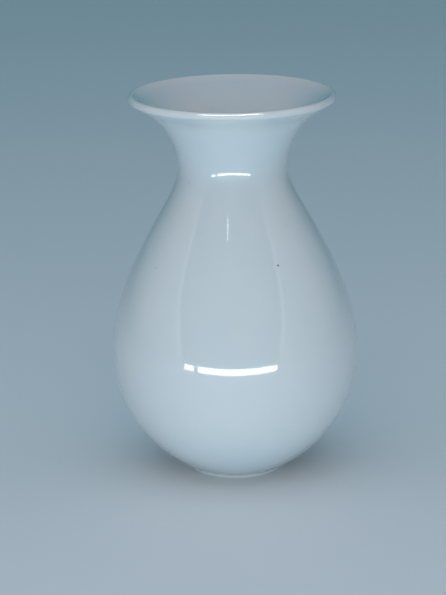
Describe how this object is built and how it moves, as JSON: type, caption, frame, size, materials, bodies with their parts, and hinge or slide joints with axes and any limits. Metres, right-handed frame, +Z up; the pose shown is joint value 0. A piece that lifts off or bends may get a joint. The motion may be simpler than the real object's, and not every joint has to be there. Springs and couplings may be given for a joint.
{
  "type": "porcelain vase",
  "caption": "Glazed baluster vase with a low round belly, a waisted neck, a wide flared mouth with a rounded lip, and a small low foot ring.",
  "frame": {"origin": "on the axis of revolution, in the plane that the foot ring stands on", "axes": "+Z up along the axis of revolution, from the foot to the mouth; X and Y level. The picture looks along +Y from the front"},
  "size_m": [0.1286, 0.1286, 0.199],
  "materials": {
    "biscuit": "unglazed, matt and slightly gritty",
    "glaze": "clear glossy glaze over white porcelain, faintly blue where thick",
    "liner": "glossy poured glaze"
  },
  "bodies": {
    "root": {"porcelain_body": "biscuit", "outer_glaze": "glaze", "liner_glaze": "liner", "base_glaze": "glaze"}
  },
  "joints": []
}
